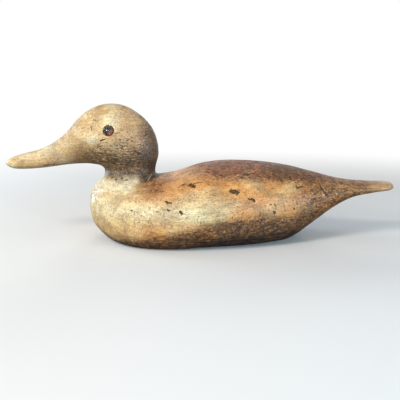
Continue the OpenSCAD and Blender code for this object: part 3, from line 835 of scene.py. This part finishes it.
def body_colour(points):
    """Patina of the two body blocks by place, which is in millimetres here; painted sheen along the side, painted
    light on the neck's foot, painted shade low down.
    """
    x, y, z = points.T / MM
    wander = 9 * noise_at(points, (45, 30, 22), 11.0)
    cloud = noise_at(points, (28, 18, 16), 5.0)
    front = np.maximum(smoothstep(-35, -80, x + 0.8 * wander), smoothstep(-52, -64, x) * smoothstep(50, 56, z))
    # Pale along the side at its widest level: partly paler wood, partly a painted sheen where the upright side faces
    # the lamps
    pale_and_sheen_band = bell(z + 0.3 * wander, 38, 12) * smoothstep(45, 0, x + wander)
    shoulder = smoothstep(24, 8, np.hypot(x + 47, 1.3 * (z - 62)) + 0.5 * wander)
    # Darker low on the sides and darkest at the lowest edge: partly grime, partly painted shade where the belly turns
    # under, away from the lamps
    edge = 15 + 21 * smoothstep(-70, 40, x) + 0.7 * wander
    low = smoothstep(edge + 2, edge - 9, z) * smoothstep(150, 90, x)
    lowest_grime_and_shade = smoothstep(21, 9, z + 0.4 * wander) * (0.25 + 0.75 * smoothstep(-30, 20, x))
    collar = smoothstep(36, 28, np.hypot(x + 73, y)) * smoothstep(58, 63, z)
    layers = [
        (STRAW, 0.6 * smoothstep(-0.1, 0.5, cloud)),
        (FOOT_CREAM, front),
        (SHEEN_BAND_PALE, 0.85 * pale_and_sheen_band),
        # Paler on top of the breast at the neck's foot: pale wood, lightened further as painted light
        (FOOT_PALE_AND_LIT, smoothstep(50, 58, z) * smoothstep(-62, -72, x)),
        (BACK_BROWN, 0.6 * shoulder),
        (BACK_BROWN, 0.9 * smoothstep(65, 78, z + 0.6 * wander + 0.08 * x)),
        (REAR_BROWN * 0.8, smoothstep(61, 70, z) * smoothstep(40, 90, x)),
        (REAR_BROWN, 0.8 * smoothstep(70, 125, x + wander)),
        (TAIL_TIP, smoothstep(165, 192, x + 0.6 * wander)),
        (LOW_GRIME_AND_SHADE, 0.9 * low),
        (LOWEST_GRIME_AND_SHADE, 0.85 * lowest_grime_and_shade),
        (head_colour(points), collar),
    ]
    return layered(TAN, layers)


def head_colour(points):
    """Patina of the head by place, which is in millimetres here, with painted light at the neck's foot and painted
    shade under the cheek and in the crease behind the neck.
    """
    x, _, z = points.T / MM
    wander = 7 * noise_at(points, (30, 20, 18), 17.0)
    cloud = noise_at(points, (22, 14, 14), 8.0)
    low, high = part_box("left_eye_iris")
    eye = (low + high) / 2 / MM
    rubbed = bell(np.hypot(x - eye.x, z - eye.z), 6.6, 1.3) * smoothstep(-0.4, 0.3, cloud)
    # Darker under the cheek and down the neck's front: brown wood with painted shade under the cheek
    under = smoothstep(114, 84, z + 0.7 * wander) * smoothstep(-150, -108, x)
    layers = [
        (CREAM, smoothstep(-0.15, 0.35, cloud) * smoothstep(-55, -85, x)),
        (HEAD_TAN, smoothstep(-96, -70, x + wander)),
        (NAPE_BROWN, 0.85 * smoothstep(-66, -48, x + 0.5 * wander)),
        (HEAD_TAN, 0.8 * bell(x, -150, 15) * smoothstep(94, 86, z)),
        (NECK_BROWN_AND_SHADE, 0.88 * under),
        # Darker in the crease behind the neck: grime, deepened with painted shade
        (0.4 * GRIME, 0.85 * smoothstep(-59, -51, x) * smoothstep(86, 74, z)),
        # Paler at the neck's foot: pale wood, lightened further as painted light
        (FOOT_PALE_AND_LIT, smoothstep(71, 62, z + 0.35 * wander) * smoothstep(-58, -66, x)),
        (CREAM, 0.7 * rubbed),
    ]
    return layered(STRAW, layers)


def paint(mesh, marks, patina_and_painted_light, seam, seam_grime, skin):
    """Writes what the wood's material reads: its colour, with painted light and shade in it, and how dark, pale,
    grimy and polished it is.
    """
    points, normals = coordinates(mesh), coordinates(mesh, "normal")
    dark, pale = relief(points, normals, marks)[1:]
    grime = smoothstep(SEAM_GRIME, 0, np.abs(points[:, 2] - seam)) * seam_grime
    grime *= smoothstep(-0.25, 0.35, noise_at(points, (30, 30, 30), 21.0))
    polish = np.zeros(len(points))
    for x, z, reach in POLISHED:
        away = np.hypot(points[:, 0] / MM - x, points[:, 2] / MM - z)
        polish = np.maximum(polish, smoothstep(reach, 0.3 * reach, away))
    nearest = [skin.find_nearest(Vector(p))[:2] for p in points]
    sunk = np.array([(spot - Vector(p)).dot(normal) for p, (spot, normal) in zip(points, nearest)])
    colour = layered(patina_and_painted_light(points), [(RAW_WOOD, smoothstep(*RAW_DEPTH, sunk))])
    for name, values in {"patina_and_painted_light": [colour, np.ones(len(points))], "age": [dark, pale, grime, polish]}.items():
        layer = mesh.color_attributes.new(name, "FLOAT_COLOR", "POINT")
        layer.data.foreach_set("color", np.column_stack(values).astype(np.float32).ravel())


# --- materials


class Shader:
    """The nodes of a material, or of the world, under construction."""

    def __init__(self, name, kind="Material"):
        self.owner = (bpy.data.worlds if kind == "World" else bpy.data.materials).new(name)
        self.owner.use_nodes = True
        self.tree = self.owner.node_tree
        self.tree.nodes.clear()
        self.output = self.add("ShaderNodeOutput" + kind)

    def add(self, kind, values=None, **settings):
        """A node with its settings, and its inputs set or linked."""
        node = self.tree.nodes.new(kind)
        for key, value in settings.items():
            setattr(node, key, value)
        for key, value in (values or {}).items():
            if isinstance(value, bpy.types.NodeSocket):
                self.tree.links.new(value, node.inputs[key])
            else:
                node.inputs[key].default_value = value
        return node

    def math(self, operation, a, b=0.0):
        return self.add("ShaderNodeMath", {0: a, 1: b}, operation=operation).outputs[0]

    def plus(self, a, b):
        return self.math("ADD", a, b)

    def minus(self, a, b):
        return self.math("SUBTRACT", a, b)

    def times(self, a, b):
        return self.math("MULTIPLY", a, b)

    def distance(self, a, b):
        return self.math("SQRT", self.plus(self.times(a, a), self.times(b, b)))

    def vector(self, operation, a, b):
        return self.add("ShaderNodeVectorMath", {0: a, 1: b}, operation=operation).outputs[0]

    def own(self):
        """The object's own coordinates."""
        return self.add("ShaderNodeTexCoord").outputs["Object"]

    def xyz(self, vector):
        return self.add("ShaderNodeSeparateXYZ", {0: vector}).outputs

    def place(self, size=(1, 1, 1)):
        """The object's own coordinates, measured in lumps of that size in millimetres."""
        return self.vector("MULTIPLY", self.own(), tuple(1 / (MM * s) for s in size))

    def noise(self, place, detail, roughness, output="Fac"):
        values = {"Vector": place, "Scale": 1.0, "Detail": detail, "Roughness": roughness}
        return self.add("ShaderNodeTexNoise", values).outputs[output]

    def lumps(self, size, detail, roughness):
        return self.noise(self.place((size, size, size)), detail, roughness)

    def between(self, low, high, value, start=0.0, end=1.0):
        """start below low, end above high, and smooth between."""
        values = {"Value": value, "From Min": low, "From Max": high, "To Min": start, "To Max": end}
        return self.add("ShaderNodeMapRange", values, interpolation_type="SMOOTHSTEP").outputs[0]

    def mix(self, share, a, b, blend="MIX"):
        a, b = (v if isinstance(v, bpy.types.NodeSocket) else (*v, 1) for v in (a, b))
        return self.add("ShaderNodeMix", {0: share, 6: a, 7: b}, data_type="RGBA", blend_type=blend).outputs[2]

    def shaded(self, share, colour, factor):
        """colour, made darker or lighter by factor where share is 1."""
        return self.mix(share, colour, (factor, factor, factor), "MULTIPLY")

    def bump(self, height, depth, **normal):
        """Relief whose height from 0 to 1 stands for that depth."""
        return self.add("ShaderNodeBump", {"Height": height, "Distance": depth, "Strength": 1.0, **normal}).outputs[0]

    def end(self, shader):
        """Ends the nodes with that shader."""
        self.tree.links.new(shader.outputs[0], self.output.inputs[0])
        return self.owner

    def finish(self, **values):
        """Ends the nodes with a Principled shader."""
        return self.end(self.add("ShaderNodeBsdfPrincipled", {k.replace("_", " "): v for k, v in values.items()}))


RING_WIDTH = 3.4  # of the wood's rings of growth, in millimetres
RING_SWAY = (14, 14, 14)  # how far they wander
RASP_SCALE = (1.5, 0.22, 0.22)  # strokes of the rasp in a millimetre: narrow along X, long across it
WAX_SHINE = 0.33
# The wood's noises: size of their lumps along X, Y and Z in millimetres, detail and roughness
WOOD_NOISES = {
    "cloud": ((22, 13, 13), 3.0, 0.55),
    "patch": ((9, 6, 6), 4.0, 0.6),
    "fibre": ((16, 0.9, 0.9), 4.0, 0.6),
    "fine": ((4, 0.35, 0.35), 3.0, 0.6),
    "mottle": ((1.7, 1.2, 1.2), 4.0, 0.7),
    "rubbed": ((2.6, 1.2, 1.2), 2.0, 0.6),
    "speck": ((2.2, 1.1, 1.1), 2.0, 0.55),
    "smear": ((6, 5, 3), 3.0, 0.65),
    "dash": ((5, 0.7, 0.7), 1.0, 0.5),
}


def wood(name, pith, rasp, smeared):
    """Old waxed softwood. pith is where the middle of the tree ran, as (y, z) in millimetres, rasp turns the noise
    behind the rasp's strokes, in radians, and smeared is how blotched its dark places are."""
    s = Shader(name)
    # This colour attribute carries painted light and shade besides the wood's own colour
    patina_and_painted_light = s.add("ShaderNodeAttribute", attribute_name="patina_and_painted_light").outputs["Color"]
    age = s.add("ShaderNodeAttribute", attribute_name="age").outputs
    dark, pale, grime = s.add("ShaderNodeSeparateColor", {0: age["Color"]}).outputs
    mm = s.place()
    sway = s.noise(s.place((70, 40, 40)), 2.0, 0.5, "Color")
    _, y, z = s.xyz(s.vector("ADD", mm, s.vector("MULTIPLY", sway, RING_SWAY)))
    late = s.distance(s.minus(y, pith[0]), s.minus(z, pith[1]))
    late = s.math("FRACT", s.math("DIVIDE", late, RING_WIDTH))
    late = s.times(s.between(0.45, 0.95, late), s.between(1.0, 0.97, late))
    noises = (s.noise(s.place(size), *rest) for size, *rest in WOOD_NOISES.values())
    cloud, patch, fibre, fine, mottle, rubbed, speck, smear, dash = noises
    stroke = s.add("ShaderNodeMapping", {"Vector": mm, "Rotation": (0, rasp, 0), "Scale": RASP_SCALE}).outputs[0]
    stroke = s.times(s.between(0.52, 0.66, s.noise(stroke, 3.0, 0.6)), s.between(0.38, 0.58, patch))
    lightness = s.add("ShaderNodeRGBToBW", {0: patina_and_painted_light}).outputs[0]
    gloom = s.between(0.42, 0.12, lightness)
    where = s.plus(s.between(0.40, 0.62, patch), s.between(0.45, 0.15, lightness, 0.0, 0.5))
    speck = s.times(s.between(0.55, 0.68, speck), where)
    dash = s.between(0.64, 0.72, dash)
    colour = s.mix(s.between(0.42, 0.66, cloud, 0.0, 0.4), patina_and_painted_light, REAR_BROWN)
    colour = s.mix(s.between(0.5, 0.34, patch, 0.0, 0.35), colour, CREAM, "SOFT_LIGHT")
    shades = [
        (s.times(late, 0.5), 0.76),
        (s.between(0.48, 0.70, fibre), 0.78),
        (s.times(s.between(0.44, 0.60, fibre), gloom), 0.55),
        (s.times(s.between(0.50, 0.62, smear, 0, smeared), gloom), 0.5),
        (s.times(s.between(0.48, 0.38, smear, 0, smeared), gloom), 1.4),
        (s.between(0.50, 0.70, fine), 0.80),
        (s.between(0.48, 0.34, mottle), 1.22),
        (s.between(0.50, 0.66, mottle), 0.68),
        (s.times(s.between(0.48, 0.60, rubbed), gloom), 2.1),
        (s.times(stroke, s.between(0, 1, gloom, 0.6, 0.95)), 0.5),
        (s.times(speck, 0.9), 0.34),
        (s.times(dash, 0.7), 0.40),
    ]
    for share, factor in shades:
        colour = s.shaded(share, colour, factor)
    chip = s.mix(s.between(0.45, 0.62, mottle), CHIP_DARK, CHIP_BROWN)
    colour = s.mix(s.times(pale, 0.8), colour, PALE_WOOD)
    colour = s.mix(s.times(grime, 0.7), colour, GRIME)
    colour = s.mix(s.between(0.2, 0.75, dark, 0.0, 0.95), colour, chip)
    rough = s.plus(s.between(0.1, 0.5, lightness, 0.36, 0.24), s.between(0.35, 0.65, patch, 0.0, 0.10))
    rough = s.minus(rough, s.times(age["Alpha"], POLISH_GLOSS))
    rough = s.plus(rough, s.times(s.math("MAXIMUM", dark, grime), 0.35))
    rough = s.plus(rough, s.times(s.math("MAXIMUM", speck, stroke), 0.15))
    normal = s.bump(fibre, 0.06 * MM)
    normal = s.bump(s.minus(fine, s.plus(speck, dash)), 0.08 * MM, Normal=normal)
    normal = s.bump(s.minus(mottle, stroke), 0.14 * MM, Normal=normal)
    return s.finish(Base_Color=colour, Roughness=rough, Specular_IOR_Level=WAX_SHINE, Normal=normal)


def metal(name, colour, tarnish, roughness, lump):
    """Aged metal: bright where it is rubbed, tarnished elsewhere."""
    s = Shader(name)
    patches, grain = s.lumps(lump, 4.0, 0.65), s.lumps(0.4, 3.0, 0.6)
    share = s.between(0.38, 0.62, patches)
    tone = s.shaded(s.between(0.5, 0.75, grain), s.mix(share, colour, tarnish), 0.7)
    metallic = s.between(0.3, 0.8, share, 1.0, 0.45)
    rough = s.plus(s.between(0.0, 1.0, share, roughness, roughness + 0.3), s.times(grain, 0.1))
    normal = s.bump(s.plus(patches, grain), 0.05 * MM)
    return s.finish(Base_Color=tone, Metallic=metallic, Roughness=rough, Normal=normal)


def putty():
    s = Shader("putty")
    lumps = s.lumps(1.2, 4.0, 0.6)
    tone = s.mix(s.between(0.35, 0.65, lumps), linear(96, 66, 40), linear(52, 36, 24))
    return s.finish(Base_Color=tone, Roughness=s.between(0.3, 0.7, lumps, 0.45, 0.7), Normal=s.bump(lumps, 0.15 * MM))


def stained_wood(name, colour, other, lump):
    s = Shader(name)
    streaks = s.noise(s.place((4 * lump, lump, lump)), 4.0, 0.7)
    tone = s.mix(s.between(0.35, 0.65, streaks), colour, other)
    return s.finish(Base_Color=tone, Roughness=0.6, Normal=s.bump(streaks, 0.1 * MM))


def eye_enamel(name, dark, painted_glow_red, deep):
    """Enamel behind the eye's glass: dark, partly as painted shade, and red at its lower rear as a painted pool of
    light, where the dome would gather the lamps' light.
    """
    s = Shader(name)
    low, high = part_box("left_eye_iris")
    middle, reach = (low + high) / 2, (high - low).z / 2
    x, _, z = s.xyz(s.own())
    x, z = (s.math("DIVIDE", s.minus(place, centre), reach) for place, centre in ((x, middle.x), (z, middle.z)))
    out = s.distance(x, z)
    # The painted pool of light lies towards the lower rear, on both eyes alike
    lower_rear = s.minus(s.times(x, 0.62), s.times(z, 0.78))
    streaks = s.lumps(0.5, 4.0, 0.7)
    painted_glow_share = s.plus(lower_rear, s.between(0.3, 0.7, streaks, -0.16, 0.16))
    painted_glow_share = s.times(s.between(-0.04, 0.55, painted_glow_share), s.between(1.0, 0.78, out))
    red = s.shaded(s.between(0.4, 0.7, streaks), s.mix(s.between(0.25, 0.8, out), painted_glow_red, deep), 0.6)
    black = s.mix(s.between(0.35, 0.65, streaks), dark, 0.4 * dark)
    return s.finish(Base_Color=s.mix(painted_glow_share, black, red), Roughness=0.6, Specular_IOR_Level=0.0)


def glass():
    """Clear eye glass that lets the lamps' light through to the enamel."""
    s = Shader("eye_glass")
    rough = s.between(0.55, 0.8, s.lumps(1.5, 3.0, 0.6), 0.0, 0.05)
    values = {"Base Color": (0.97, 0.98, 0.97, 1), "Roughness": rough, "Transmission Weight": 1.0, "IOR": 1.02}
    values.update({"Coat Weight": 1.0, "Coat Roughness": 0.07, "Coat IOR": 1.6})
    clear = s.add("ShaderNodeBsdfPrincipled", values)
    through = s.add("ShaderNodeBsdfTransparent")
    shadow = s.add("ShaderNodeLightPath").outputs["Is Shadow Ray"]
    return s.end(s.add("ShaderNodeMixShader", {0: shadow, 1: clear.outputs[0], 2: through.outputs[0]}))


# --- pieces

HARD_EDGE = 0.7  # radians between faces above which their edge is hard


def smooth_shaded(mesh):
    """Smooth shading with hard edges."""
    with edited(mesh) as bm:
        for face in bm.faces:
            face.smooth = True
        for edge in bm.edges:
            edge.smooth = edge.calc_face_angle(0.0) < HARD_EDGE


def dress(node, material):
    """Gives a CAD node its finish."""
    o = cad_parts[node]
    if not o.material_slots:
        o.data.materials.append(material)
    for slot in o.material_slots:
        slot.material = material
    for polygon in o.data.polygons:
        polygon.use_smooth = True


def make_wood():
    under_neck = planed(head_loft(NECK_LAST), SEAT_Z, keep_above=False)
    body_skin, head_skin = solid_tree(joined(body_loft(), under_neck)), solid_tree(joined(head_loft()))
    meshes, marks = carve()
    # The piece's colouring, painted light and shade included, its seam and the grime there, its skin, and its
    # material's slot, pith, rasp and smears
    plans = {
        "upper_body": ((body_colour, SEAM_Z, 1.0, body_skin), ("body_wood", (14, -55), 0.15, 1.0)),
        "bottom_board": ((body_colour, SEAM_Z, 1.0, body_skin), ("board_wood", (-25, 60), 0.15, 1.0)),
        "head": ((head_colour, SEAT_Z, 0.3, head_skin), ("head_wood", (8, 30), -0.8, 0.25)),
    }
    for node, (age, grain) in plans.items():
        mesh = meshes[node]
        paint(mesh, marks, *age)
        smooth_shaded(mesh)
        mesh.materials.clear()
        mesh.materials.append(wood(*grain))
        piece = new_object("carved_" + node, mesh)
        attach(piece, "decoy")
        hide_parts(node)


def dress_small_pieces():
    iron = metal("nail_iron", linear(92, 84, 78), linear(84, 50, 32), 0.45, 1.2)
    steel = metal("screw_steel", linear(150, 148, 142), linear(110, 98, 84), 0.35, 2.0)
    brass = metal("brass", linear(190, 150, 84), linear(112, 84, 48), 0.28, 3.0)
    lead = metal("lead", linear(120, 124, 128), linear(84, 84, 86), 0.5, 6.0)
    finishes = {
        "neck_brads": iron,
        "board_nails": iron,
        "line_staple": iron,
        "head_screw": steel,
        "head_screw_washer": steel,
        "ballast_screws": brass,
        "line_ring": brass,
        "ballast_weight": lead,
        "neck_dowel": stained_wood("dowel_wood", linear(194, 160, 116), linear(170, 132, 88), 3.0),
    }
    eye = {
        "putty": putty(),
        "glass": glass(),
        # Iris and pupil carry a painted pool of light at their lower rear
        "iris": eye_enamel("iris_enamel", linear(34, 30, 20), linear(196, 120, 100), linear(140, 40, 26)),
        "pupil": eye_enamel("pupil_enamel", linear(20, 24, 16), linear(176, 110, 94), linear(120, 44, 32)),
        "wire": steel,
    }
    finishes.update({f"{side}_eye_{part}": eye[part] for side in ("left", "right") for part in eye})
    for node, material in finishes.items():
        dress(node, material)


# --- stage

FILL_TINT, FILL_STRENGTH = (0.95, 1.0, 1.12), 0.28  # the room's own light, slightly cool
WHITE = (1, 1, 1)
FLOOR_SIZE = 6
FLOOR_DROP = 0.2 * MM  # how far the floor is below the base, so that the two faces don't meet
FLOOR_NEAR, FLOOR_FAR = 0.32, 0.75  # metres between which the floor fades into the white background
FLOOR_OVAL = 0.8  # how much wider than deep the unfaded floor is
FLOOR_SEEN, FLOOR_UNSEEN = (0.90, 0.87, 0.82), (0.22, 0.22, 0.22)  # its colour for the camera, and for other rays
LAMP_TARGET = Vector((0, 0, 60 * MM))
# Soft lamps aimed at the decoy: azimuth (0 is the camera's side, 90 is at +X) and rise in degrees, distance, size,
# power and colour
LAMPS = {
    "key_high": (-44, 40, 1.5, (0.45, 0.3), 7.2, (1, 0.98, 0.94)),
    "key_low": (-46, 22, 1.5, (0.45, 0.3), 7.2, (1, 0.98, 0.94)),
    "window": (-114, 5, 1.0, (0.35, 0.6), 7.5, (0.66, 0.85, 1)),
    "back": (172, 24, 1.7, (0.7, 0.4), 5.5, (1, 0.98, 0.95)),
    "front": (-14, 11, 1.4, (0.8, 0.2), 4, WHITE),
    "side": (34, 9, 1.0, (0.12, 0.2), 3, (0.5, 0.77, 1)),
    "rear": (62, 5, 1.0, (0.12, 0.26), 3.5, (0.5, 0.77, 1)),
}


def area_light(name, azimuth, rise, distance, size, power, colour):
    lamp = bpy.data.lights.new(name, "AREA")
    lamp.shape = "RECTANGLE"
    lamp.size, lamp.size_y = size
    lamp.energy = power
    lamp.color = colour
    o = new_object(name, lamp)
    a, e = math.radians(azimuth), math.radians(rise)
    back = Vector((math.sin(a) * math.cos(e), -math.cos(a) * math.cos(e), math.sin(e)))
    o.location = LAMP_TARGET + back * distance
    o.rotation_euler = back.to_track_quat("Z", "Y").to_euler()
    o.visible_camera = False
    o.visible_glossy = name != "back"  # it fills the far side, without a glare along the back


def ray_kinds(s):
    """1 for the camera's rays, and 1 for those that see the background: these, and glossy and transmission rays."""
    path = s.add("ShaderNodeLightPath").outputs
    camera, seen = path["Is Camera Ray"], s.math("MAXIMUM", path["Is Glossy Ray"], path["Is Transmission Ray"])
    return camera, s.math("MAXIMUM", camera, seen)


def make_floor():
    s = Shader("floor")
    x, y, _ = s.xyz(s.own())
    camera, seen = ray_kinds(s)
    fade = s.times(s.between(FLOOR_NEAR, FLOOR_FAR, s.distance(s.times(x, FLOOR_OVAL), y)), seen)
    plain = s.add("ShaderNodeBsdfDiffuse", {0: s.mix(camera, FLOOR_UNSEEN, FLOOR_SEEN)})
    white = s.add("ShaderNodeEmission", {0: (*WHITE, 1), 1: 1.0})
    mesh = bpy.data.meshes.new("floor")
    with edited(mesh) as bm:
        bmesh.ops.create_grid(bm, x_segments=2, y_segments=2, size=FLOOR_SIZE)
    mesh.materials.append(s.end(s.add("ShaderNodeMixShader", {0: fade, 1: plain.outputs[0], 2: white.outputs[0]})))
    floor = new_object("floor", mesh)
    floor.location.z = -FLOOR_DROP


def make_room():
    s = Shader("studio", "World")
    seen = ray_kinds(s)[1]
    light = {"Color": s.mix(seen, FILL_TINT, WHITE), "Strength": s.between(0, 1, seen, FILL_STRENGTH, 1.0)}
    bpy.context.scene.world = s.end(s.add("ShaderNodeBackground", light))
    for name, settings in LAMPS.items():
        area_light(name, *settings)


make_wood()
dress_small_pieces()
make_floor()
make_room()
bpy.context.scene.view_settings.view_transform = "Standard"
